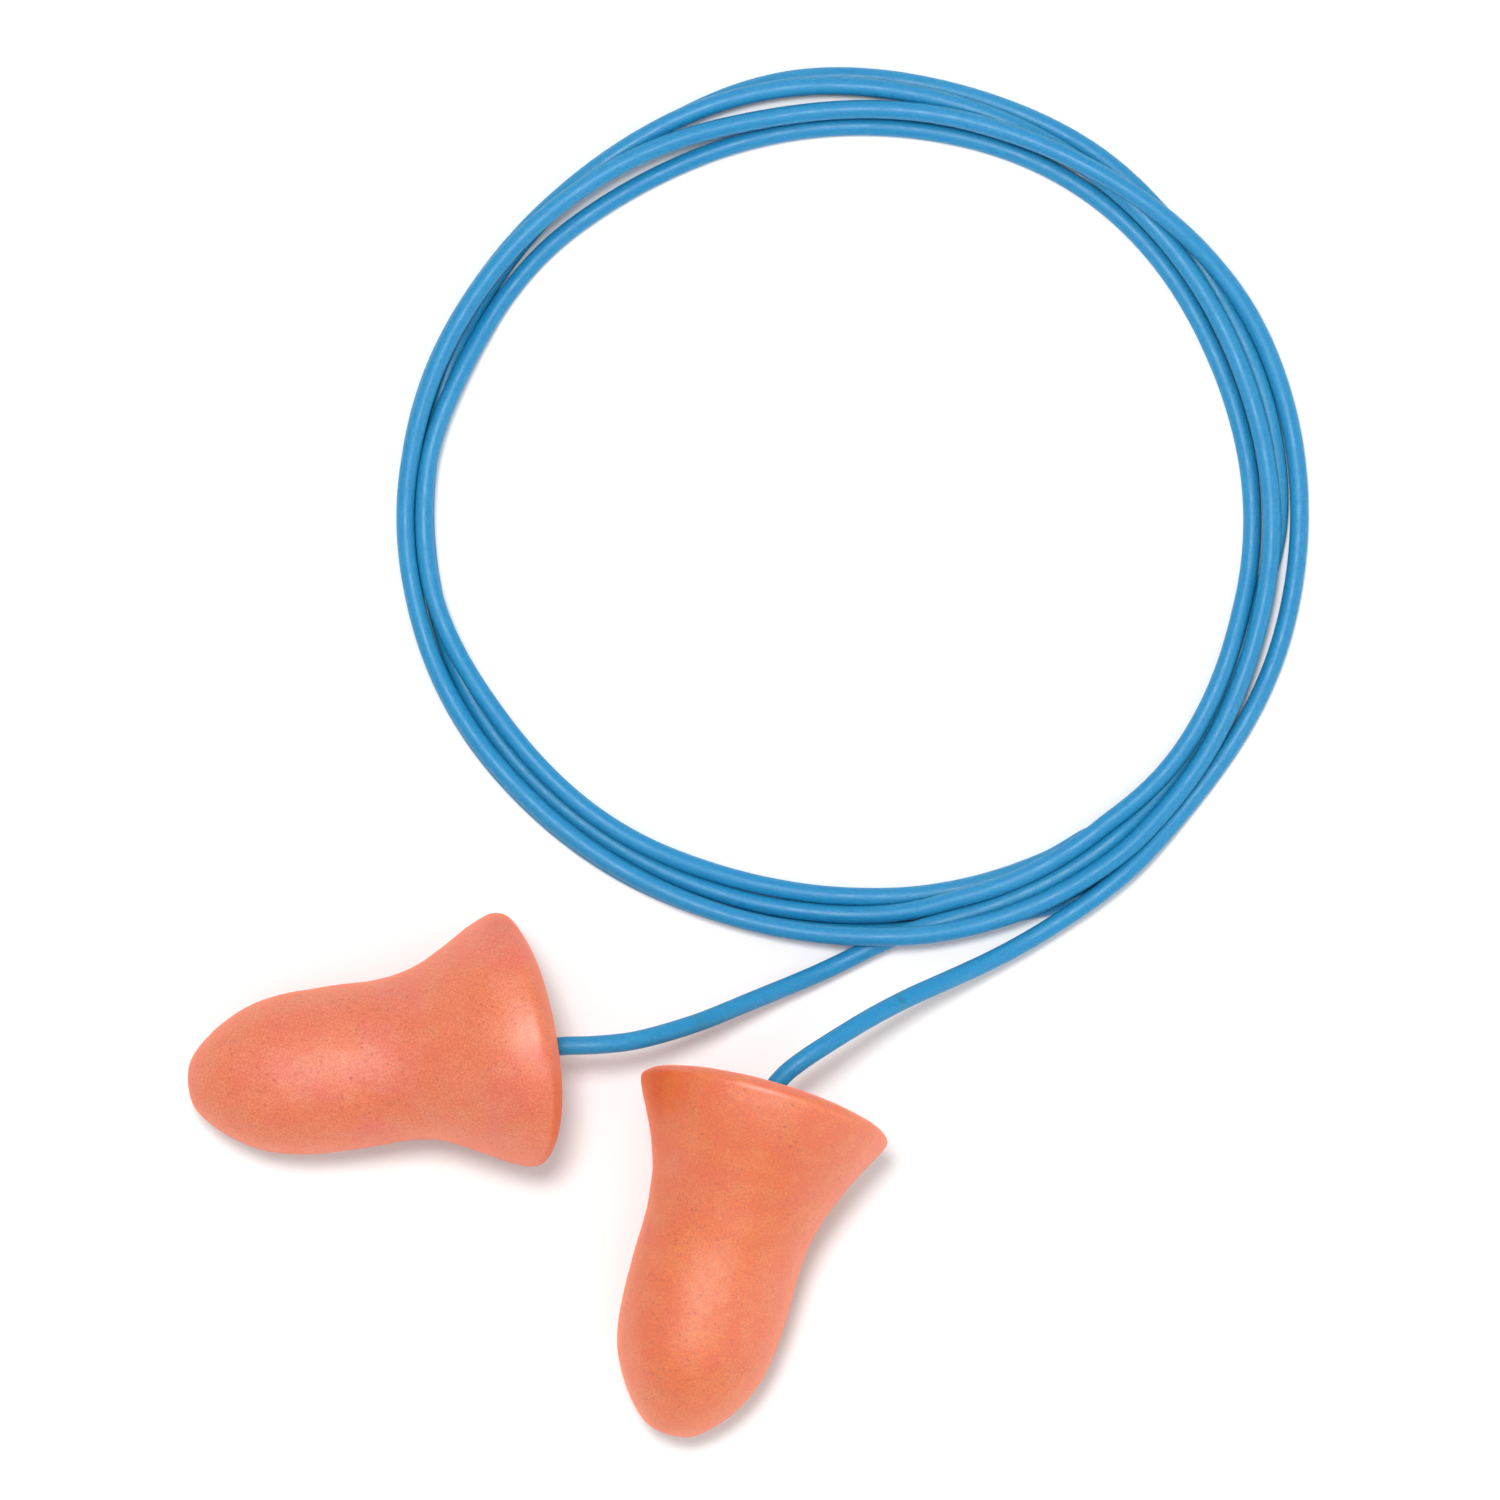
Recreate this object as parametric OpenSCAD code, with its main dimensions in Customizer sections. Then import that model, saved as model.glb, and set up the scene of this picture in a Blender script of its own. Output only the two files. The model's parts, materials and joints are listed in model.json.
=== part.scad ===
// A pair of soft foam ear plugs joined by one limp cord, lying on a table.
// Millimetres. +Z is up and z = 0 is the table. The origin is the bottom centre
// of the box around the two plugs. The cord's spare length lies in a round ring.

/* [Ear plug] */
// Length of one plug along its own axis, from nose to the middle of its base
plug_length = 25; // [22:0.5:28]
// Diameter of the round body that fills the ear canal
body_dia = 11.1; // [9:0.1:12]
// Diameter of the slight waist between the body and the flare
waist_dia = 11; // [9:0.1:12]
// Largest diameter of the flared base
rim_dia = 17.2; // [14:0.2:19]
// Length of the rounded nose
nose_length = 9; // [6:0.5:10]
// Distance from the nose to where the flare begins
flare_start = 13; // [11:0.5:15]
// Distance from the nose to the widest part of the flare
rim_position = 22.6; // [20:0.2:25]
// How late the flare opens: 1 is even, more is later
flare_power = 1.5; // [1:0.1:2]
// Radius of the rounded edge of the base
rim_round = 1; // [0.5:0.1:1.5]

/* [Cord] */
// Diameter of the cord
cord_dia = 1.25; // [1:0.05:1.6]
// Depth to which the cord's end goes into the foam
embed_depth = 8; // [5:0.5:12]
// Diameter of the set adhesive around the cord's end
bond_dia = 2.2; // [1.8:0.1:3]

/* [Ring of cord] */
// Outside diameter of the loose ring that the cord lies in
ring_outer_dia = 61.6; // [56:0.2:64]
// Width of the bundle of turns, seen from above
ring_width = 5.6; // [4:0.2:7]
// Height of the bundle of turns
ring_height = 3.2; // [2:0.1:4]

/* [Output] */
// Sub-part to show, or all

/* [Hidden] */

// Where each cord leaves its plug, in plan, and the direction from nose to base.
left_exit = [0.85, 9];
left_heading = 6.2;
right_exit = [15.95, 6.35];
right_heading = 73;
ring_centre = [21.3, 45.4];

body_r = body_dia / 2;
waist_r = waist_dia / 2;
rim_r = rim_dia / 2;
cord_r = cord_dia / 2;
flat_r = rim_r - rim_round;
dome_start = rim_position + rim_round;
dome_height = plug_length - dome_start;
// The foam grips the bare cord over this depth, outside the adhesive.
mouth_depth = 1;
// Adhesive beyond the end of the cord.
bond_cap = 0.3;
end_r = cord_r / 2;
sides = 8;

function smooth(u) = u * u * (3 - 2 * u);

nose_points = [for (a = [0 : 10 : 90]) [nose_length * (1 - cos(a)), body_r * sin(a)]];
flare_points = [for (k = [0 : 12])
    let (u = k / 12)
    [flare_start + u * (rim_position - flare_start),
     waist_r + (rim_r - waist_r) * smooth(pow(u, flare_power))]];
edge_points = [for (a = [18 : 18 : 90]) [rim_position + rim_round * sin(a), flat_r + rim_round * cos(a)]];
dome_points = [for (k = [5 : -1 : 0]) [plug_length - dome_height * pow(k / 6, 2), flat_r * k / 6]];
plug_profile = concat(nose_points, flare_points, edge_points, dome_points);

// A plug lies on its rim and its body, so its nose points a little down.
tilt = min([for (p = plug_profile) if (p[0] < flare_start) atan((rim_r - p[1]) / (rim_position - p[0]))]);
exit_height = max([for (p = plug_profile) (plug_length - p[0]) * sin(tilt) + p[1] * cos(tilt)]);

// Routes of the cord's centreline, from just outside each plug to the ring.
left_route = [
    [1.35, 9.05, 9.04],
    [1.8, 9.1, 9.1],
    [3.8, 9.15, 9.15],
    [6.3, 9.4, 8.6],
    [8.8, 10, 7.4],
    [11.3, 10.8, 5.9],
    [13.8, 11.8, 4.3],
    [16.3, 12.8, 2.8],
    [18.8, 13.8, 1.6],
    [21.3, 15, 0.8],
    [23.8, 16.5, 0.65]
];
right_route = [
    [16.25, 6.75, 9.04],
    [16.6, 7.15, 9.1],
    [17.8, 8.1, 9.15],
    [19.8, 9.4, 8.7],
    [22.3, 10.9, 7.6],
    [24.8, 12.2, 6.2],
    [27.3, 13.3, 4.7],
    [29.8, 14.4, 3.2],
    [32.3, 15.6, 1.9],
    [34.8, 17.1, 1],
    [37.3, 19, 0.65],
    [40.3, 21.5, 0.65]
];

function unit(v) = v / norm(v);
function heading(route, i) = unit(route[min(i + 1, len(route) - 1)] - route[max(i - 1, 0)]);
function tube_ring(p, t, r) =
    let (across = unit(cross([0, 0, 1], t)), up = cross(t, across))
    [for (k = [0 : sides - 1]) p + r * (cos(360 * k / sides) * across + sin(360 * k / sides) * up)];

// A tube through the points of a route, with a narrow first ring as its end.
module cord_tube(route) {
    count = len(route);
    rings = [for (i = [0 : count - 1]) tube_ring(route[i], heading(route, i), i == 0 ? end_r : cord_r)];
    walls = [for (i = [0 : count - 2], k = [0 : sides - 1])
        let (a = i * sides + k, b = i * sides + (k + 1) % sides)
        each [[a, a + sides, b + sides], [a, b + sides, b]]];
    near_cap = [for (k = [0 : sides - 1]) k];
    far_cap = [for (k = [sides - 1 : -1 : 0]) (count - 1) * sides + k];
    polyhedron(points = [for (r = rings) each r], faces = concat([near_cap], walls, [far_cap]));
}

// Puts a shape that points along +X from the cord's exit where its plug lies.
module at_plug(exit, angle) {
    translate([exit[0], exit[1], exit_height])
        rotate([0, 0, angle])
            rotate([0, -tilt, 0])
                children();
}

// A rod along the plug's axis, between two depths below the middle of the base.
module axial_rod(dia, deep, shallow) {
    translate([-deep, 0, 0])
        rotate([0, 90, 0])
            cylinder(d = dia, h = deep - shallow, $fn = 48);
}

module bond_shape() {
    axial_rod(bond_dia, embed_depth + bond_cap, mouth_depth);
}

module cord_end_shape() {
    axial_rod(cord_dia, embed_depth, 0);
}

module plug_shape() {
    difference() {
        translate([-plug_length, 0, 0])
            rotate([0, 90, 0])
                rotate_extrude($fn = 72)
                    polygon([for (p = plug_profile) [p[1], p[0]]]);
        bond_shape();
        axial_rod(cord_dia, mouth_depth + 0.1, -1);
    }
}

module left_plug() {
    color([0.94, 0.5, 0.38])
        at_plug(left_exit, left_heading)
            plug_shape();
}

module right_plug() {
    color([0.94, 0.5, 0.38])
        at_plug(right_exit, right_heading)
            plug_shape();
}

module left_bond() {
    color([0.93, 0.9, 0.82])
        at_plug(left_exit, left_heading)
            difference() {
                bond_shape();
                cord_end_shape();
            }
}

module right_bond() {
    color([0.93, 0.9, 0.82])
        at_plug(right_exit, right_heading)
            difference() {
                bond_shape();
                cord_end_shape();
            }
}

module left_cord_end() {
    color([0.25, 0.6, 0.83])
        at_plug(left_exit, left_heading)
            cord_end_shape();
}

module right_cord_end() {
    color([0.25, 0.6, 0.83])
        at_plug(right_exit, right_heading)
            cord_end_shape();
}

module left_cord_tail() {
    color([0.25, 0.6, 0.83])
        cord_tube(left_route);
}

module right_cord_tail() {
    color([0.25, 0.6, 0.83])
        cord_tube(right_route);
}

// The outer shape of the bundle of turns, with edges as round as the cord.
module cord_coil() {
    inner = ring_outer_dia / 2 - ring_width;
    color([0.25, 0.6, 0.83])
        translate([ring_centre[0], ring_centre[1], 0])
            rotate_extrude($fn = 96) {
                translate([inner + cord_r, 0])
                    square([ring_width - cord_dia, ring_height]);
                translate([inner, cord_r])
                    square([ring_width, ring_height - cord_dia]);
                for (x = [inner + cord_r, inner + ring_width - cord_r], y = [cord_r, ring_height - cord_r])
                    translate([x, y])
                        circle(r = cord_r, $fn = 24);
            }
}

left_plug();
right_plug();
left_bond();
right_bond();
left_cord_end();
right_cord_end();
left_cord_tail();
right_cord_tail();
cord_coil();
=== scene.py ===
"""Looks of a pair of soft foam ear plugs joined by one limp cord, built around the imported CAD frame.

Metres, +Z up, z = 0 is the surface that everything lies on. Names that end in _MM hold millimetres.
"""
import json
import math

import bpy
import numpy as np
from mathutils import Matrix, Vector, noise


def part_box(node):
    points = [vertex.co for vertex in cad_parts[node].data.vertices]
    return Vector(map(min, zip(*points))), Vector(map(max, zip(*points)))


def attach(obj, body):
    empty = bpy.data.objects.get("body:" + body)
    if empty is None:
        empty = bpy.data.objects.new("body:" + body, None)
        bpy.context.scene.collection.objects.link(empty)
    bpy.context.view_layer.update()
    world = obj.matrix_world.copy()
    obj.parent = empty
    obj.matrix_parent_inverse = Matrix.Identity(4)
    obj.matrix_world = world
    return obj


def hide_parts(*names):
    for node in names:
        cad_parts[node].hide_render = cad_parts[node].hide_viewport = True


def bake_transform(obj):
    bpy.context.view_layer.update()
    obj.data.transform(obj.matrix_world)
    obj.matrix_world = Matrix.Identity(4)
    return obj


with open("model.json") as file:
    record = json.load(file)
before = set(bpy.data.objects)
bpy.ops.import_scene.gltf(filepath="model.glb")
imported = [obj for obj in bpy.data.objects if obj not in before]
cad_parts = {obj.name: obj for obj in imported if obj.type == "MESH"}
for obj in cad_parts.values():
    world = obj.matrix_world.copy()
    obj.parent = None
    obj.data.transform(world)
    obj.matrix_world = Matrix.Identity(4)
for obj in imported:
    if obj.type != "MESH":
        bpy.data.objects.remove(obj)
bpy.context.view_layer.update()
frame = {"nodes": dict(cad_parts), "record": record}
record = frame["record"]
MM = 0.001

# ---------------------------------------------------------------- places from the frame
JOINTS = {j["name"]: Vector(j["pos_m"]) for j in record["behaviour"]["joints"]}
NOSES = {m["name"]: Vector(m["pos_m"]) for m in record["mounts"]}
LEFT_EXIT, RIGHT_EXIT = JOINTS["left_plug_swing"], JOINTS["right_plug_swing"]
ring_low, ring_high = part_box("cord_coil")
RING_CENTRE = ((ring_low[0] + ring_high[0]) / 2, (ring_low[1] + ring_high[1]) / 2)

# ---------------------------------------------------------------- camera, straight above
VIEW_CENTRE_MM = (14.3, 29.0)
VIEW_WIDTH_MM = 101.35
VIEW_PLANE_MM = 4.0
CAMERA_DISTANCE = 1.2
SENSOR_MM = 36.0


def make_camera():
    data = bpy.data.cameras.new("camera")
    data.sensor_width = SENSOR_MM
    data.lens = CAMERA_DISTANCE * SENSOR_MM / (VIEW_WIDTH_MM * MM)
    data.clip_start, data.clip_end = 0.05, 20.0
    camera = bpy.data.objects.new("camera", data)
    camera.location = (
        VIEW_CENTRE_MM[0] * MM,
        VIEW_CENTRE_MM[1] * MM,
        CAMERA_DISTANCE + VIEW_PLANE_MM * MM,
    )
    bpy.context.scene.collection.objects.link(camera)
    bpy.context.scene.camera = camera


make_camera()

# ---------------------------------------------------------------- the cord's route
CORD_DIA_MM = 1.25
# Height of a strand's centreline when it lies on the surface.
FLOOR_MM = CORD_DIA_MM / 2
# Spacing of the points while the strands settle, and of the finished tube's rings.
STEP_MM = 0.75
TUBE_STEP_MM = 0.4
TUBE_SIDES = 16
# A neck is the cord's stretch outside a plug that bends when the plug swings.
NECK_MM = 10.5
# Length of cord modelled inside the foam.
EMBED_MM = 2.5

# From each plug down to the ring: x, y, z in millimetres. The plan is the CAD tails' own, and the last
# points ride higher, because strands lie under them.
LEFT_TAIL_MM = [
    (1.35, 9.05, 9.04), (1.8, 9.1, 9.1), (3.8, 9.15, 9.15), (6.3, 9.4, 8.6), (8.8, 10, 7.4),
    (11.3, 10.8, 5.9), (13.8, 11.8, 4.3), (16.3, 12.8, 2.9), (18.8, 13.8, 1.9), (21.3, 15, 1.6),
]
RIGHT_TAIL_MM = [
    (16.25, 6.75, 9.04), (16.6, 7.15, 9.1), (17.8, 8.1, 9.15), (19.8, 9.4, 8.7), (22.3, 10.9, 7.6),
    (24.8, 12.2, 6.2), (27.3, 13.3, 4.7), (29.8, 14.4, 3.2), (32.3, 15.6, 2.2), (34.8, 17.1, 1.9),
]

# Round the ring, anticlockwise from +X: angle in degrees, then radius and height in millimetres.
# Each half of the cord runs on from its tail for two turns, and the halves meet in a fold.
LEFT_LANES = [
    (274, 29.3, 1.8), (278, 28.65, 1.8), (284, 28.45, 1.6), (290, 28.45, 1.7), (297, 28.5, 1.87),
    (308, 28.45, 1.88), (314, 28.33, 1.3), (321, 28.2, 0.65), (330, 28.0, 0.63), (340, 27.9, 0.63),
    (347, 28.1, 0.63), (352, 28.5, 0.63), (358, 28.85, 0.63), (375, 28.8, 0.63), (395, 28.6, 0.63),
    (405, 28.8, 0.63), (413, 29.03, 0.63), (420, 29.03, 0.63), (430, 28.88, 0.63), (440, 28.95, 0.63),
    (450, 29.18, 0.63), (458, 29.35, 0.63), (466, 29.17, 0.63), (474, 28.82, 0.63), (482, 28.68, 0.63),
    (495, 28.65, 0.63), (510, 28.85, 0.63), (525, 28.95, 0.63), (550, 28.97, 0.63), (560, 29.0, 0.63),
    (570, 28.78, 0.63), (580, 28.45, 0.63), (590, 28.05, 0.63), (600, 27.75, 0.63), (610, 27.55, 0.63),
    (620, 27.5, 0.63), (630, 27.55, 0.7), (638, 27.55, 1.4), (646, 27.5, 2.0), (655, 27.42, 2.5),
    (664, 27.5, 2.3), (672, 27.62, 2.0), (680, 27.7, 1.8), (690, 27.5, 1.77), (700, 27.22, 1.67),
    (710, 27.1, 1.0), (717, 27.02, 0.65), (725, 26.9, 0.63), (735, 26.65, 0.63), (745, 26.53, 0.63),
    (760, 26.67, 0.63), (770, 26.68, 0.63), (780, 26.52, 0.63), (790, 26.22, 0.63), (800, 25.92, 0.63),
    (810, 25.8, 0.63), (820, 25.78, 0.63), (830, 25.88, 0.63), (840, 26.05, 0.63), (850, 26.5, 0.63),
    (860, 27.2, 0.63), (870, 27.6, 0.65), (880, 28.02, 1.45), (890, 28.75, 1.87), (898, 29.15, 2.0),
    (905, 29.27, 2.0), (912, 29.05, 1.9), (920, 28.57, 1.8), (930, 27.82, 1.42), (940, 27.47, 1.4),
    (950, 27.2, 1.5), (960, 26.77, 1.4), (970, 26.32, 0.8), (980, 26.18, 0.63), (990, 26.3, 0.63),
    (1000, 26.55, 0.63), (1008, 26.78, 0.63), (1014, 27.0, 0.63), (1020, 27.17, 0.63), (1025, 27.2, 0.63),
]
RIGHT_LANES = [
    (298, 31.1, 2.0), (302, 30.93, 1.95), (306, 30.78, 1.9), (310, 30.57, 1.7), (315, 30.25, 1.0),
    (321, 30.1, 0.63), (330, 30.2, 0.63),
    (340, 30.3, 0.63), (350, 30.2, 0.63), (370, 30.1, 0.63), (380, 29.93, 0.7), (390, 29.6, 1.37),
    (395, 29.3, 1.7), (400, 28.97, 2.4), (405, 28.6, 2.6), (410, 28.2, 2.6), (415, 27.92, 2.58),
    (420, 27.7, 2.55), (430, 27.33, 2.5), (440, 27.08, 2.3), (450, 26.9, 2.1), (458, 26.83, 2.05),
    (465, 26.95, 2.2), (472, 27.3, 2.5), (480, 27.78, 2.75), (490, 28.27, 3.05), (500, 28.83, 3.05),
    (510, 29.25, 3.0), (520, 29.7, 2.8), (530, 30.02, 2.3), (538, 30.15, 1.9), (550, 30.27, 1.87),
    (560, 30.25, 1.87), (570, 29.95, 1.87), (580, 29.5, 1.85), (590, 29.2, 1.85), (600, 28.93, 1.85),
    (610, 28.82, 1.87), (618, 28.8, 2.1), (626, 28.85, 2.7), (633, 29.0, 3.05), (640, 29.25, 2.9),
    (648, 29.45, 2.6), (656, 29.55, 2.5), (664, 29.5, 2.5), (672, 29.38, 2.2), (680, 29.2, 1.6),
    (690, 28.9, 1.5), (700, 28.52, 1.7), (710, 28.4, 1.87), (717, 28.33, 1.8), (725, 28.12, 1.72),
    (735, 27.85, 1.72), (745, 27.77, 1.72), (755, 27.77, 1.68), (765, 27.82, 1.58), (775, 27.87, 1.4),
    (785, 28.0, 1.5), (795, 28.1, 1.58), (805, 28.33, 1.63), (815, 28.65, 1.7), (823, 28.8, 1.8),
    (832, 28.85, 1.87), (842, 28.75, 1.87), (852, 28.8, 1.87), (862, 29.05, 1.8), (870, 29.3, 1.78),
    (878, 29.65, 1.6), (886, 29.95, 1.3), (894, 30.12, 0.95), (902, 30.22, 0.63), (912, 30.3, 0.63),
    (922, 30.25, 0.63), (931, 30.03, 0.63), (940, 29.67, 0.63), (950, 29.38, 0.63), (960, 29.12, 0.63),
    (970, 28.85, 0.63), (980, 28.68, 0.63), (990, 28.62, 0.63), (1000, 28.8, 0.63), (1008, 29.15, 0.63),
    (1013, 29.55, 0.63), (1017, 30.05, 0.63), (1020, 30.5, 0.63), (1023, 30.78, 0.63), (1025, 30.84, 0.63),
]
RING_SPREAD = 1.004
# Spacing of the points made from the lanes, and the blur along them, counted in such points.
LANE_STEP_DEG = 1.5
LANE_BLUR = 1.5
FOLD_STEPS = 12
# Parts that a smooth curve makes of each stretch between two points.
TAIL_PARTS, CORD_PARTS, PROFILE_PARTS = 6, 4, 12


def polar(angle_deg, radius_mm, height_mm):
    """A point round the ring, in millimetres."""
    angle, radius = math.radians(angle_deg), radius_mm * RING_SPREAD
    return (
        RING_CENTRE[0] / MM + radius * math.cos(angle),
        RING_CENTRE[1] / MM + radius * math.sin(angle),
        height_mm,
    )


def blurred(values, width):
    """Gaussian blur of a row of values, whose ends are carried on."""
    reach = int(3 * width)
    kernel = np.exp(-0.5 * (np.arange(-reach, reach + 1) / width) ** 2)
    padded = np.pad(values, reach, mode="edge")
    return np.convolve(padded, kernel / kernel.sum(), mode="valid")


def lane_points(lanes):
    """Points every LANE_STEP_DEG along a list of lane values, with their corners rounded."""
    table = np.array(lanes, float)
    angles = np.arange(table[0, 0], table[-1, 0] + 0.01, LANE_STEP_DEG)
    radii = blurred(np.interp(angles, table[:, 0], table[:, 1]), LANE_BLUR)
    heights = blurred(np.interp(angles, table[:, 0], table[:, 2]), LANE_BLUR)
    return [polar(*row) for row in zip(angles, radii, heights)]


def fold_points():
    """The half turn that joins the two halves, flat under the ring."""
    inner, outer, start = LEFT_LANES[-1][1], RIGHT_LANES[-1][1], LEFT_LANES[-1][0]
    middle, reach = (inner + outer) / 2, (outer - inner) / 2
    points = []
    for turn in np.linspace(0, math.pi, FOLD_STEPS + 1)[1:-1]:
        angle = start + math.degrees(reach / middle) * math.sin(turn)
        points.append(polar(angle, middle - reach * math.cos(turn), FLOOR_MM))
    return points


def resampled(points, step):
    """Points about a step apart along a line through the given points."""
    points = np.asarray(points, float)
    lengths = np.r_[0, np.cumsum(np.linalg.norm(np.diff(points, axis=0), axis=1))]
    count = max(2, int(round(lengths[-1] / step)) + 1)
    wanted = np.linspace(0, lengths[-1], count)
    return np.stack([np.interp(wanted, lengths, points[:, k]) for k in range(3)], axis=1)


def smooth_curve(points, parts):
    """A Catmull-Rom curve through the points."""
    p = np.asarray(points, float)
    p = np.vstack([2 * p[0] - p[1], p, 2 * p[-1] - p[-2]])
    out = []
    for i in range(1, len(p) - 2):
        slope = p[i + 1] - p[i - 1]
        square = 2 * p[i - 1] - 5 * p[i] + 4 * p[i + 1] - p[i + 2]
        cube = 3 * p[i] - p[i - 1] - 3 * p[i + 1] + p[i + 2]
        for t in np.arange(parts) / parts:
            out.append(0.5 * (2 * p[i] + slope * t + square * t**2 + cube * t**3))
    out.append(p[-2])
    return np.array(out)


SETTLE_ROUNDS = 240
ROUNDS_PER_SEARCH = 8
SEARCH_REACH_MM = 2.6
# Points nearer along the cord than this count as one strand.
OWN_REACH = 5
# Kept still: so many points at each end, and this length to each side of the fold.
HELD_POINTS = 24
FOLD_HOLD_MM = 5.5
# Shares of the way moved each round: to the lane, to a smoother line, and out of a neighbour.
HOME_PULL = 0.04
SMOOTHING = 0.25
PUSH = 0.3
# Two points push each other only if they are abreast within this share of a step.
ABREAST = 0.6


def neighbours(points):
    """Pairs of points on different runs of the cord that are near each other."""
    index = np.arange(len(points))
    apart = np.abs(points[:, None] - points[None]).max(axis=2)
    return np.nonzero((apart < SEARCH_REACH_MM) & (np.abs(index[:, None] - index[None]) > OWN_REACH))


def settled(points, fold):
    """Pushes neighbouring runs of the cord a diameter apart, each held lightly to its lane.

    The fold is given as the number of its middle point. It and the two ends stay where they are.
    """
    home = points.copy()
    count = len(points)
    index = np.arange(count)
    free = (index >= HELD_POINTS) & (index < count - HELD_POINTS)
    free &= np.abs(index - fold) * STEP_MM > FOLD_HOLD_MM
    for step in range(SETTLE_ROUNDS):
        if step % ROUNDS_PER_SEARCH == 0:
            i, j = neighbours(points)
        points[free] += HOME_PULL * (home - points)[free]
        bend = (points[:-2] + points[2:]) / 2 - points[1:-1]
        points[1:-1] += np.where(free[1:-1, None], SMOOTHING * bend, 0)
        tangent = np.gradient(points, axis=0)
        tangent /= np.linalg.norm(tangent, axis=1)[:, None]
        gap = points[i] - points[j]
        along = (gap * tangent[j]).sum(1)
        across = gap - along[:, None] * tangent[j]
        distance = np.linalg.norm(across, axis=1) + 1e-9
        short = np.where(np.abs(along) < ABREAST * STEP_MM, np.maximum(CORD_DIA_MM - distance, 0), 0)
        push = across / distance[:, None] * (PUSH * short)[:, None]
        move, hits = np.zeros_like(points), np.zeros(count)
        for ends, way in ((i, 1), (j, -1)):
            np.add.at(move, ends, way * push)
            np.add.at(hits, ends, short > 0)
        move /= np.maximum(hits / 2, 1)[:, None]
        points[free] += move[free]
        points[:, 2] = np.maximum(points[:, 2], FLOOR_MM)
    return points


def half_route(tail, lanes):
    """One half of the cord, from its plug to its end of the fold."""
    ring = lane_points(lanes)
    return list(smooth_curve(tail + ring[:1], TAIL_PARTS)[:-1]) + ring


def cord_route():
    """The settled centreline from the left plug to the right one, in millimetres."""
    left, right = half_route(LEFT_TAIL_MM, LEFT_LANES), half_route(RIGHT_TAIL_MM, RIGHT_LANES)
    fold = fold_points()
    to_fold = np.linalg.norm(np.diff(left + fold[: len(fold) // 2 + 1], axis=0), axis=1).sum()
    whole = left + fold + right[::-1]
    return settled(resampled(whole, STEP_MM), round(to_fold / STEP_MM))


def with_entry(route, exit_point, nose):
    """Adds the piece of cord inside the foam to the start of a route."""
    inward = (nose - exit_point).normalized()
    inside = [np.array(exit_point + inward * EMBED_MM * MM * k) / MM for k in (1.0, 0.5, 0.0)]
    return np.vstack([inside, route])


route = cord_route()
route = with_entry(route, LEFT_EXIT, NOSES["left_ear_end"])
route = with_entry(route[::-1], RIGHT_EXIT, NOSES["right_ear_end"])[::-1]
centreline = resampled(smooth_curve(route, CORD_PARTS), TUBE_STEP_MM) * MM


# ---------------------------------------------------------------- mesh helpers
def new_mesh(name, vertices, faces, smooth=True):
    mesh = bpy.data.meshes.new(name)
    mesh.from_pydata([tuple(v) for v in vertices], [], faces)
    mesh.validate()
    mesh.update()
    if smooth:
        mesh.polygons.foreach_set("use_smooth", [True] * len(mesh.polygons))
    piece = bpy.data.objects.new(name, mesh)
    bpy.context.scene.collection.objects.link(piece)
    return piece


def tube_frames(path):
    """Tangent and two sideways directions at each point, turning as little as possible."""
    tangent = np.gradient(path, axis=0)
    tangent /= np.linalg.norm(tangent, axis=1)[:, None]
    side = np.cross(tangent[0], [0, 0, 1.0])
    side /= np.linalg.norm(side)
    sides = []
    for t in tangent:
        side = side - t * (side @ t)
        side /= np.linalg.norm(side)
        sides.append(side)
    sides = np.array(sides)
    return sides, np.cross(tangent, sides)


def tube(name, path, sides, ups, radius):
    """A tube along the path, closed by flat ends with their own corners, so that it isn't shaded round there."""
    turn = np.linspace(0, 2 * math.pi, TUBE_SIDES, endpoint=False)
    rings = (
        path[:, None]
        + radius * np.cos(turn)[None, :, None] * sides[:, None]
        + radius * np.sin(turn)[None, :, None] * ups[:, None]
    )
    vertices = rings.reshape(-1, 3)
    faces = []
    for i in range(len(path) - 1):
        for k in range(TUBE_SIDES):
            a, b = i * TUBE_SIDES + k, i * TUBE_SIDES + (k + 1) % TUBE_SIDES
            faces.append((a, b, b + TUBE_SIDES, a + TUBE_SIDES))
    count = len(vertices)
    vertices = np.vstack([vertices, rings[0], rings[-1]])
    faces.append(tuple(count + k for k in range(TUBE_SIDES))[::-1])
    faces.append(tuple(count + TUBE_SIDES + k for k in range(TUBE_SIDES)))
    return new_mesh(name, vertices, faces)


# ---------------------------------------------------------------- materials
def rgb(red, green, blue):
    """Linear colour from the 0 to 255 values that a screen shows."""
    return tuple(
        (c / 255 / 12.92 if c / 255 <= 0.04045 else ((c / 255 + 0.055) / 1.055) ** 2.4)
        for c in (red, green, blue)
    ) + (1.0,)


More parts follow.
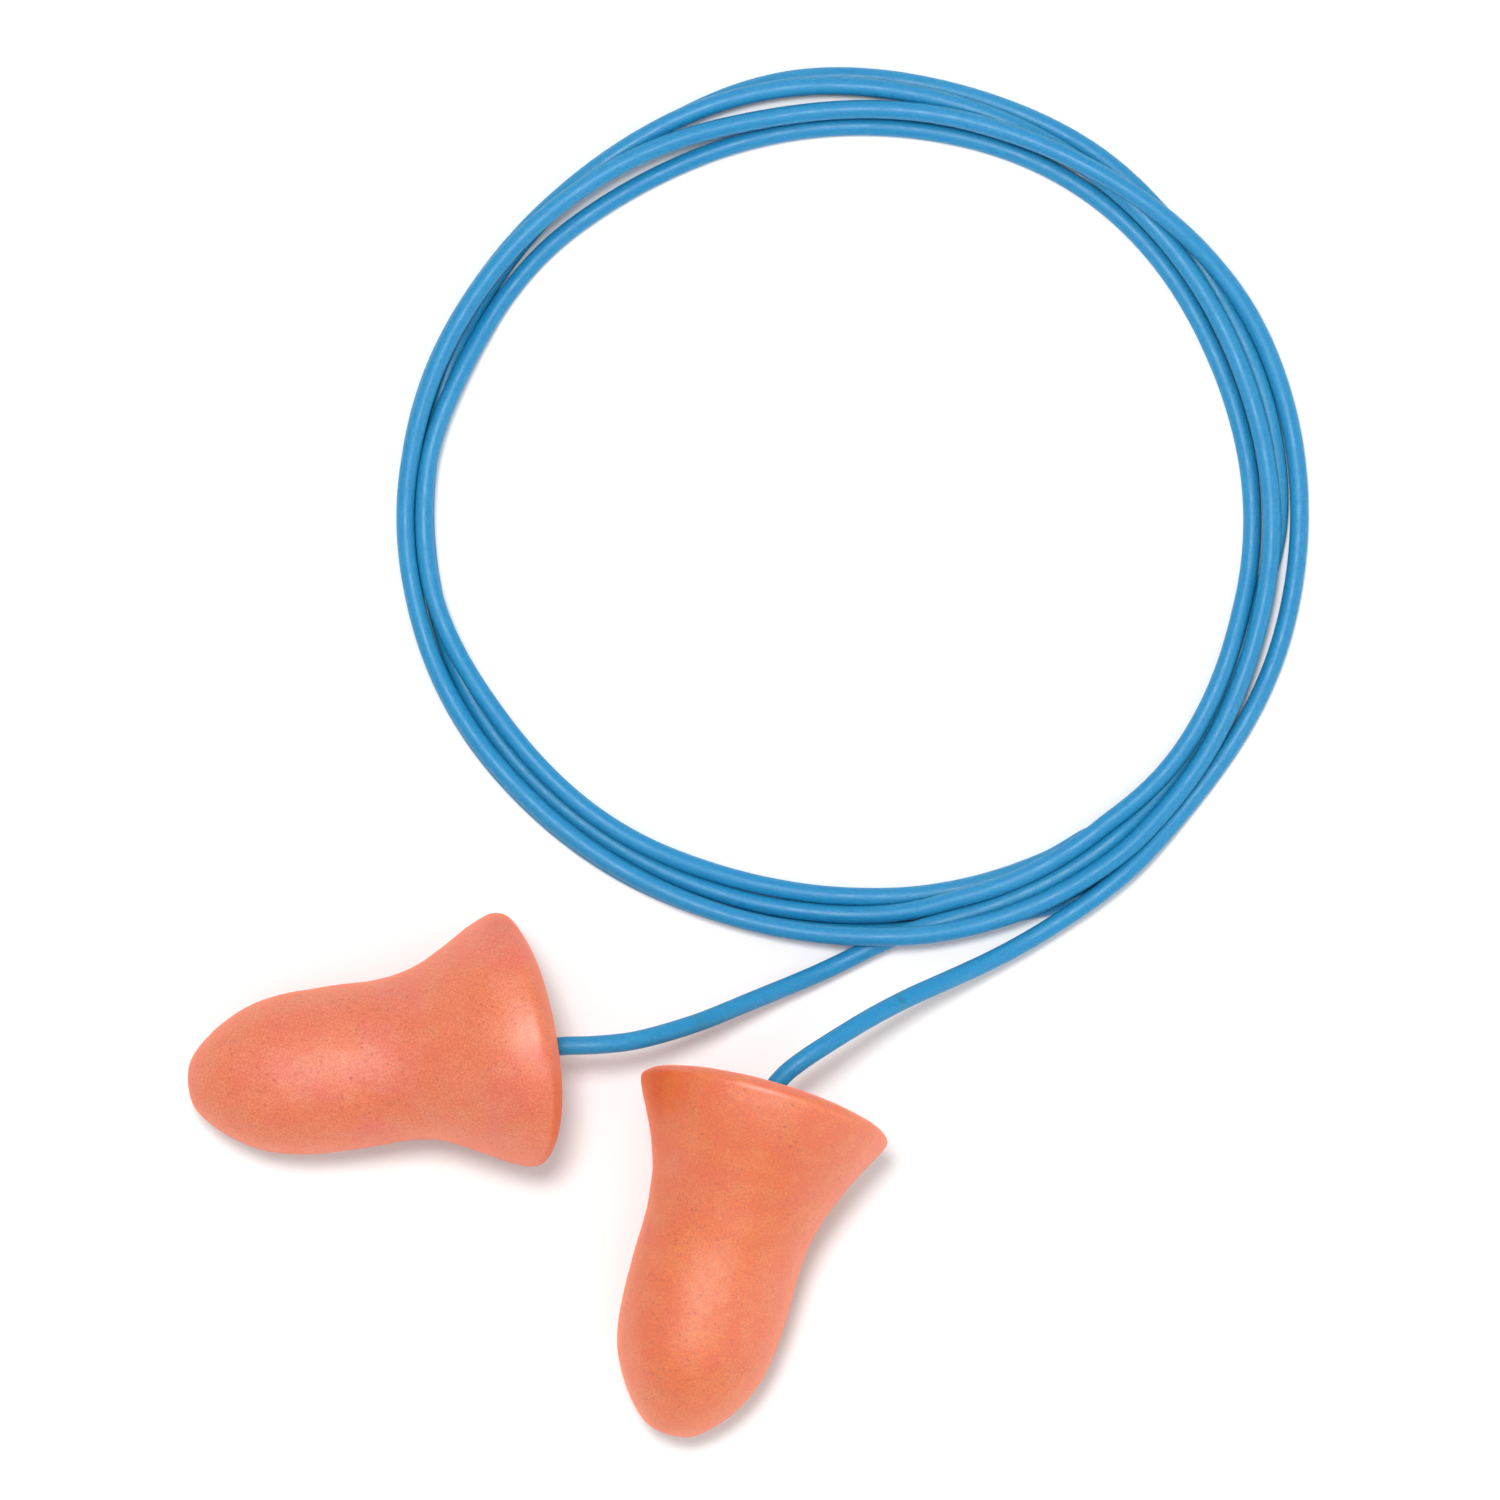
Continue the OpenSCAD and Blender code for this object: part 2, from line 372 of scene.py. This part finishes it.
class Nodes:
    """A material and short ways to add nodes to it."""

    def __init__(self, name):
        self.material = bpy.data.materials.new(name)
        self.material.use_nodes = True
        self.tree = self.material.node_tree
        self.shader = self.tree.nodes["Principled BSDF"]
        self.place = self.add("ShaderNodeTexCoord").outputs["Object"]

    def add(self, kind):
        return self.tree.nodes.new(kind)

    def link(self, source, target):
        self.tree.links.new(source, target)

    def noise(self, size_mm, detail=2.0, roughness=0.5):
        """Noise whose features are about size_mm across."""
        node = self.add("ShaderNodeTexNoise")
        node.inputs["Scale"].default_value = 1 / (size_mm * MM)
        node.inputs["Detail"].default_value = detail
        node.inputs["Roughness"].default_value = roughness
        self.link(self.place, node.inputs["Vector"])
        return node.outputs["Fac"]

    def cells(self, size_mm):
        """Distance to the nearest of scattered points, in units of size_mm."""
        node = self.add("ShaderNodeTexVoronoi")
        node.inputs["Scale"].default_value = 1 / (size_mm * MM)
        self.link(self.place, node.inputs["Vector"])
        return node.outputs["Distance"]

    def ramp(self, source, low, high, to_low=0.0, to_high=1.0):
        """A soft step of the source, from to_low at low to to_high at high."""
        node = self.add("ShaderNodeMapRange")
        node.interpolation_type = "SMOOTHSTEP"
        for key, value in (("From Min", low), ("From Max", high), ("To Min", to_low), ("To Max", to_high)):
            node.inputs[key].default_value = value
        self.link(source, node.inputs["Value"])
        return node.outputs["Result"]

    def maths(self, operation, a, b):
        node = self.add("ShaderNodeMath")
        node.operation = operation
        for socket, value in zip(node.inputs, (a, b)):
            if isinstance(value, (int, float)):
                socket.default_value = value
            else:
                self.link(value, socket)
        return node.outputs["Value"]

    def mix(self, factor, a, b):
        """A colour the given share of the way from a to b."""
        node = self.add("ShaderNodeMix")
        node.data_type = "RGBA"
        for socket, value in ((node.inputs["Factor"], factor), (node.inputs[6], a), (node.inputs[7], b)):
            if isinstance(value, (int, float, tuple)):
                socket.default_value = value
            else:
                self.link(value, socket)
        return node.outputs[2]

    def bump(self, height, depth_mm, strength=1.0, normal=None):
        node = self.add("ShaderNodeBump")
        node.inputs["Strength"].default_value = strength
        node.inputs["Distance"].default_value = depth_mm * MM
        self.link(height, node.inputs["Height"])
        if normal is not None:
            self.link(normal, node.inputs["Normal"])
        return node.outputs["Normal"]

    def set(self, **values):
        """Sets the shader's own sockets, named with underscores for spaces."""
        for key, value in values.items():
            self.shader.inputs[key.replace("_", " ")].default_value = value


# The grain's own darker colour, also used as painted shade in the pores; then painted shade in the pits.
DEEP_FOAM_AND_PORE_SHADE = rgb(190, 80, 44)
PAINTED_PIT_SHADE = rgb(140, 60, 42)


def foam_material(name, light, warm, pink, gloss):
    """Slow-recovery foam with a fine open skin: grain, scattered pores and pits whose darkening is painted
    shade, and soft patches of tone.
    """
    m = Nodes(name)
    patches = m.ramp(m.noise(5.0, 2.0), 0.42, 0.62)
    blotches = m.ramp(m.noise(1.6, 3.0, 0.6), 0.4, 0.66)
    tone = m.mix(patches, warm, pink)
    tone = m.mix(m.maths("MULTIPLY", blotches, 0.4), tone, light)
    grain = m.noise(0.14, 2.0, 0.7)
    tone = m.mix(m.ramp(grain, 0.36, 0.64, 0.0, 0.65), tone, DEEP_FOAM_AND_PORE_SHADE)
    crowding = m.ramp(m.noise(2.2, 2.0), 0.44, 0.62)
    pores = m.ramp(m.cells(0.4), 0.12, 0.36, 1.0, 0.0)
    pores = m.maths("MULTIPLY", pores, crowding)
    # Painted shade: the pores, which the bump sinks, are also darkened in colour.
    tone = m.mix(m.maths("MULTIPLY", pores, 0.85), tone, DEEP_FOAM_AND_PORE_SHADE)
    pits = m.ramp(m.cells(1.3), 0.04, 0.08, 1.0, 0.0)
    # Painted shade: the pits, which the bump sinks, are also darkened in colour.
    tone = m.mix(m.maths("MULTIPLY", pits, 0.35), tone, PAINTED_PIT_SHADE)
    m.link(tone, m.shader.inputs["Base Color"])
    skin = m.bump(m.noise(0.17, 2.0, 0.6), 0.04, 0.6)
    skin = m.bump(m.maths("MULTIPLY", pores, -1.0), 0.05, 0.6, skin)
    skin = m.bump(m.maths("MULTIPLY", pits, -1.0), 0.1, 0.8, skin)
    m.link(skin, m.shader.inputs["Normal"])
    m.set(Roughness=0.6, Specular_IOR_Level=0.4, Coat_Weight=gloss, Coat_Roughness=0.52, Coat_IOR=1.9)
    m.set(Sheen_Weight=0.6, Sheen_Roughness=0.5, Sheen_Tint=rgb(255, 110, 50))
    m.set(Subsurface_Weight=0.4, Subsurface_Scale=0.001, Subsurface_Radius=(2.5, 0.5, 0.25))
    return m.material


def cord_material():
    """Soft blue plastic with a satin skin that has taken on faint marks."""
    m = Nodes("cord_blue")
    drift = m.ramp(m.noise(14.0, 1.0), 0.35, 0.65)
    tone = m.mix(drift, rgb(29, 136, 181), rgb(41, 140, 183))
    speckle = m.ramp(m.noise(0.22, 2.0, 0.7), 0.3, 0.7)
    tone = m.mix(m.maths("MULTIPLY", speckle, 0.35), tone, rgb(14, 110, 162))
    m.link(tone, m.shader.inputs["Base Color"])
    m.link(m.bump(m.noise(0.25, 3.0, 0.6), 0.02, 0.4), m.shader.inputs["Normal"])
    m.link(m.ramp(m.noise(0.9, 2.0), 0.3, 0.7, 0.4, 0.52), m.shader.inputs["Roughness"])
    m.set(Specular_IOR_Level=0.4)
    m.set(Subsurface_Weight=0.8, Subsurface_Scale=0.0012, Subsurface_Radius=(0.3, 0.8, 1.2))
    return m.material


def adhesive_material():
    """Set adhesive, cream and a little cloudy."""
    m = Nodes("adhesive_cream")
    cloud = m.ramp(m.noise(0.8, 3.0), 0.35, 0.65)
    m.link(m.mix(cloud, rgb(236, 226, 198), rgb(246, 240, 224)), m.shader.inputs["Base Color"])
    m.link(m.bump(m.noise(0.5, 2.0), 0.04, 0.5), m.shader.inputs["Normal"])
    m.set(Roughness=0.4, Subsurface_Weight=0.15)
    return m.material


def dress(piece, material):
    piece.data.materials.clear()
    piece.data.materials.append(material)


CORD = cord_material()

# ---------------------------------------------------------------- the cord
sides, ups = tube_frames(centreline)
lengths = np.r_[0, np.cumsum(np.linalg.norm(np.diff(centreline, axis=0), axis=1))]
neck_points = int(np.searchsorted(lengths, (NECK_MM + EMBED_MM) * MM))
spans = {
    "left_cord_neck": slice(0, neck_points + 1),
    "cord": slice(neck_points, len(centreline) - neck_points),
    "right_cord_neck": slice(len(centreline) - neck_points - 1, len(centreline)),
}
pieces = {}
for name, span in spans.items():
    pieces[name] = tube(name, centreline[span], sides[span], ups[span], CORD_DIA_MM / 2 * MM)
    dress(pieces[name], CORD)
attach(pieces["cord"], "cord")
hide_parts("cord_coil", "left_cord_tail", "right_cord_tail")
# Each neck has its placement baked into its mesh.
for side, seam, exit_point in (("left", neck_points - 2, LEFT_EXIT), ("right", 1 - neck_points, RIGHT_EXIT)):
    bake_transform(pieces[f"{side}_cord_neck"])

# ---------------------------------------------------------------- the foam plugs
PLUG_RINGS = 190
PLUG_SIDES = 256
# Distance from the nose along the plug, and radius there, in millimetres.
PROFILE_MM = [
    (0, 0), (0.06, 0.8), (0.25, 1.55), (0.6, 2.1), (1.2, 2.75), (2.1, 3.5), (3.1, 4.15), (4.1, 4.67),
    (5.2, 5.07), (6.3, 5.33), (7.5, 5.48), (9, 5.55), (11, 5.56), (13, 5.52), (14.6, 5.57), (15.8, 5.75),
]
LEFT_FLARE_MM = [
    (17, 6.08), (18.2, 6.65), (19.4, 7.28), (20.5, 7.88), (21.5, 8.33), (22.3, 8.58), (22.9, 8.58),
]
RIGHT_FLARE_MM = [
    (17.2, 6.02), (18.5, 6.45), (19.8, 6.97), (20.9, 7.5), (21.9, 8.0), (22.75, 8.42), (23.35, 8.58),
]
LEFT_BASE_MM = [
    (23.35, 8.4), (23.75, 8.0), (24.1, 7.4), (24.43, 6.6), (24.78, 5.4), (24.98, 4.1), (25.13, 2.7),
    (25.22, 1.3), (25.25, 0),
]
RIGHT_BASE_MM = [
    (23.72, 8.38), (23.98, 8.0), (24.18, 7.4), (24.36, 6.6), (24.56, 5.4), (24.74, 4.1), (24.87, 2.7),
    (24.95, 1.3), (25, 0),
]
# The rim is rubbed rounder on top than at its sides: by how much, over what length, how suddenly.
WORN_RIM_MM, WORN_RIM_SPREAD_MM, WORN_RIM_POWER = 0.6, 1.2, 0.7
# Sideways shift of the centreline, to the left of the way from nose to base.
LEFT_BEND_MM = [(0, 0.0), (9, 0.03), (13, 0.2), (15, 0.41), (17, 0.6), (20, 0.75), (25, 0.8)]
RIGHT_BEND_MM = [(0, 0.0), (7, 0.14), (12, 0.22), (15, 0.27), (18, 0.2), (25, 0.22)]
# The soft base stands nearly upright although the body slopes (sag), more to one side than to the other
# (warp), and leans a little sideways. It bends over so many millimetres from this distance behind the nose.
LEFT_LEAN_DEG, RIGHT_LEAN_DEG = 2.8, 1.3
LEFT_SAG_DEG, RIGHT_SAG_DEG = 19.0, 20.0
LEFT_WARP, RIGHT_WARP = 0.04, 0.0
SAG_START_MM, SAG_SPAN_MM = 13, 9
# Long waves and fine unevenness of the moulded skin: height, turns of noise per millimetre for a coarse
# and a finer noise, and the finer one's share. Within NARROW_MM of the axis both die away.
WAVE_MM, WAVE_SCALES, WAVE_FINER = 0.06, (0.16, 0.45), 0.5
SKIN_MM, SKIN_SCALES, SKIN_FINER = 0.018, (1.9, 4.2), 0.6
NARROW_MM = 1.5
BASE_WAVE_MM, BASE_WAVE_SCALE = 0.03, 0.3
# The base begins this far behind the rim, with a dimple where the cord goes in.
BASE_AFTER_RIM_MM = 0.6
DIMPLE_MM, DIMPLE_RADIUS_MM = 0.35, 0.95


def plug_profile(points):
    """PLUG_RINGS evenly spaced points along a smooth curve through the profile."""
    curve = smooth_curve([(s, r, 0) for s, r in points], PROFILE_PARTS)
    length = np.linalg.norm(np.diff(curve, axis=0), axis=1).sum()
    return resampled(curve, length / (PLUG_RINGS - 1))[:, :2]


def layered_noise(spot, shift, scales, finer):
    """A coarse noise with a share of a finer one."""
    return noise.noise(spot * scales[0] + shift) + finer * noise.noise(spot * scales[1] + shift)


def foam_plug(name, nose, exit_point, flare, base, bend, lean_deg, sag_deg, warp, seed):
    """The plug as a bell of revolution about a slightly bent line, with the waves and skin of moulded foam."""
    axis = (exit_point - nose).normalized()
    left = Vector((-axis.y, axis.x, 0)).normalized()
    up = axis.cross(left)
    profile = plug_profile(PROFILE_MM + flare + base)
    rim_at, rim_radius = flare[-1]
    bend = np.array(bend)
    sag, lean = math.tan(math.radians(sag_deg)), math.tan(math.radians(lean_deg))
    shift = Vector((seed * 3.1, seed * 1.7, 0))

    def skin_point(s, r, turn):
        """The foam's surface at a distance from the nose, with the turn counted from the top."""
        worn = WORN_RIM_MM * max(math.cos(turn), 0) ** WORN_RIM_POWER
        worn *= math.exp(-(((s - rim_at) / WORN_RIM_SPREAD_MM) ** 2))
        sway, rise = (r - worn) * math.sin(turn), (r - worn) * math.cos(turn)
        share = min(max((s - SAG_START_MM) / SAG_SPAN_MM, 0), 1) ** 2
        ahead = (rise * (sag - warp * sway / rim_radius) - sway * lean) * share
        off = float(np.interp(s, bend[:, 0], bend[:, 1]))
        spot = Vector((s + ahead, off + sway, rise))
        wave = layered_noise(spot, shift, WAVE_SCALES, WAVE_FINER)
        skin = layered_noise(spot, shift, SKIN_SCALES, SKIN_FINER)
        grow = 1 + (WAVE_MM * wave + SKIN_MM * skin) / max(r, NARROW_MM)
        spot.y = off + sway * grow
        spot.z = rise * grow
        if s > rim_at + BASE_AFTER_RIM_MM:
            spot.x += BASE_WAVE_MM * (wave + noise.noise(spot * BASE_WAVE_SCALE - shift))
            near = math.hypot(spot.y, spot.z) / DIMPLE_RADIUS_MM
            spot.x -= DIMPLE_MM * math.exp(-near * near)
        return nose + (axis * spot.x + left * spot.y + up * spot.z) * MM

    vertices = [skin_point(*profile[0], 0)]
    for s, r in profile[1:-1]:
        vertices += [skin_point(s, r, 2 * math.pi * k / PLUG_SIDES) for k in range(PLUG_SIDES)]
    vertices.append(skin_point(*profile[-1], 0))
    tip, end = 0, len(vertices) - 1
    first, last = 1, end - PLUG_SIDES
    faces = []
    for ring in range(first, last, PLUG_SIDES):
        for k in range(PLUG_SIDES):
            a, b = ring + k, ring + (k + 1) % PLUG_SIDES
            faces.append((a, a + PLUG_SIDES, b + PLUG_SIDES, b))
    for k in range(PLUG_SIDES):
        faces.append((tip, first + k, first + (k + 1) % PLUG_SIDES))
        faces.append((end, last + (k + 1) % PLUG_SIDES, last + k))
    lowest = min(v.z for v in vertices)
    return new_mesh(name, [v - Vector((0, 0, lowest)) for v in vertices], faces)


FOAMS = {
    "left": foam_material("foam_left", rgb(219, 137, 98), rgb(218, 113, 62), rgb(217, 105, 76), 0.7),
    "right": foam_material("foam_right", rgb(220, 136, 64), rgb(221, 102, 8), rgb(219, 96, 24), 1.0),
}
# Exit, flare, base, bend, lean, sag, warp, and the seed of the noise.
PLUGS = {
    "left": (
        LEFT_EXIT, LEFT_FLARE_MM, LEFT_BASE_MM, LEFT_BEND_MM,
        LEFT_LEAN_DEG, LEFT_SAG_DEG, LEFT_WARP, 1.0,
    ),
    "right": (
        RIGHT_EXIT, RIGHT_FLARE_MM, RIGHT_BASE_MM, RIGHT_BEND_MM,
        RIGHT_LEAN_DEG, RIGHT_SAG_DEG, RIGHT_WARP, 4.0,
    ),
}
ADHESIVE = adhesive_material()
for side, shape in PLUGS.items():
    foam = foam_plug(f"{side}_foam", NOSES[f"{side}_ear_end"], *shape)
    dress(foam, FOAMS[side])
    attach(foam, f"{side}_ear_plug")
    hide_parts(f"{side}_plug")
    dress(frame["nodes"][f"{side}_bond"], ADHESIVE)
    dress(frame["nodes"][f"{side}_cord_end"], CORD)


# ---------------------------------------------------------------- floor and light
FLOOR_REACH = 1.5


def make_floor():
    corners = [(x * FLOOR_REACH, y * FLOOR_REACH, 0) for x, y in ((-1, -1), (1, -1), (1, 1), (-1, 1))]
    floor = new_mesh("floor", corners, [(0, 1, 2, 3)], False)
    m = Nodes("floor_white")
    m.link(m.mix(m.noise(400.0, 1.0), rgb(236, 236, 236), rgb(239, 239, 239)), m.shader.inputs["Base Color"])
    m.set(Roughness=0.9, Specular_IOR_Level=0.1)
    dress(floor, m.material)


# Lamps: name, tilt from straight up and angle round from +X in degrees, distance and width in metres, watts.
LAMPS = [
    ("key", 8.5, 120, 0.9, 0.17, 5.3),
    ("ceiling", 10, 260, 2.0, 2.0, 11.0),
    ("far_fill", 50, 97, 0.9, 0.45, 0.5),
    ("near_fill", 68, 338, 0.9, 0.5, 1.2),
]
SKY_STRENGTH = 0.48


def make_lamp(name, tilt_deg, turn_deg, distance, width, watts):
    data = bpy.data.lights.new(name, "AREA")
    data.shape = "DISK"
    data.size = width
    data.energy = watts
    lamp = bpy.data.objects.new(name, data)
    tilt, turn = math.radians(tilt_deg), math.radians(turn_deg)
    aim = Vector((VIEW_CENTRE_MM[0] * MM, VIEW_CENTRE_MM[1] * MM, 0))
    way = Vector((math.sin(tilt) * math.cos(turn), math.sin(tilt) * math.sin(turn), math.cos(tilt)))
    lamp.location = aim + way * distance
    lamp.rotation_mode = "QUATERNION"
    lamp.rotation_quaternion = way.to_track_quat("Z", "Y")
    bpy.context.scene.collection.objects.link(lamp)


def make_light():
    for lamp in LAMPS:
        make_lamp(*lamp)
    world = bpy.data.worlds.new("studio")
    world.use_nodes = True
    world.node_tree.nodes["Background"].inputs["Color"].default_value = (1, 1, 1, 1)
    world.node_tree.nodes["Background"].inputs["Strength"].default_value = SKY_STRENGTH
    bpy.context.scene.world = world
    bpy.context.scene.view_settings.view_transform = "Standard"


make_floor()
make_light()
